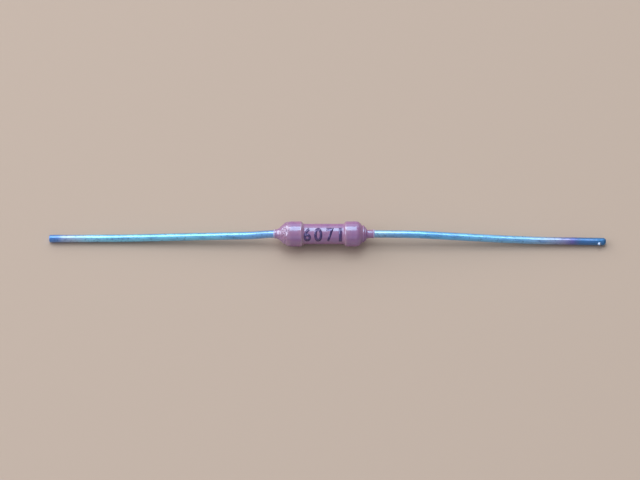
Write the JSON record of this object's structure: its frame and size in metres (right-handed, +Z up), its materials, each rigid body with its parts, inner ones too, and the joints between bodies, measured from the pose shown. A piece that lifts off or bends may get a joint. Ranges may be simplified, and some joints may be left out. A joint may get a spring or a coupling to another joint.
{
  "type": "axial resistor",
  "caption": "Small axial film resistor: enamelled dog-bone body with raised cap ends and bare, slightly bent wire leads.",
  "frame": {"origin": "on the resting surface, under the middle of the enamelled body", "axes": "+X along the body towards the snipped lead, +Z up, +Y away from the side that carries the marking"},
  "size_m": [0.0442, 0.002, 0.002],
  "materials": {
    "ceramic": "matte",
    "film": "satin",
    "cap_metal": "satin",
    "tinned_wire": "satin",
    "enamel": "gloss"
  },
  "bodies": {
    "root": {"ceramic_rod": "ceramic", "resistive_film": "film", "end_cap_left": "cap_metal", "end_cap_right": "cap_metal", "lead_left": "tinned_wire", "lead_right": "tinned_wire", "enamel_coat": "enamel"}
  },
  "joints": []
}
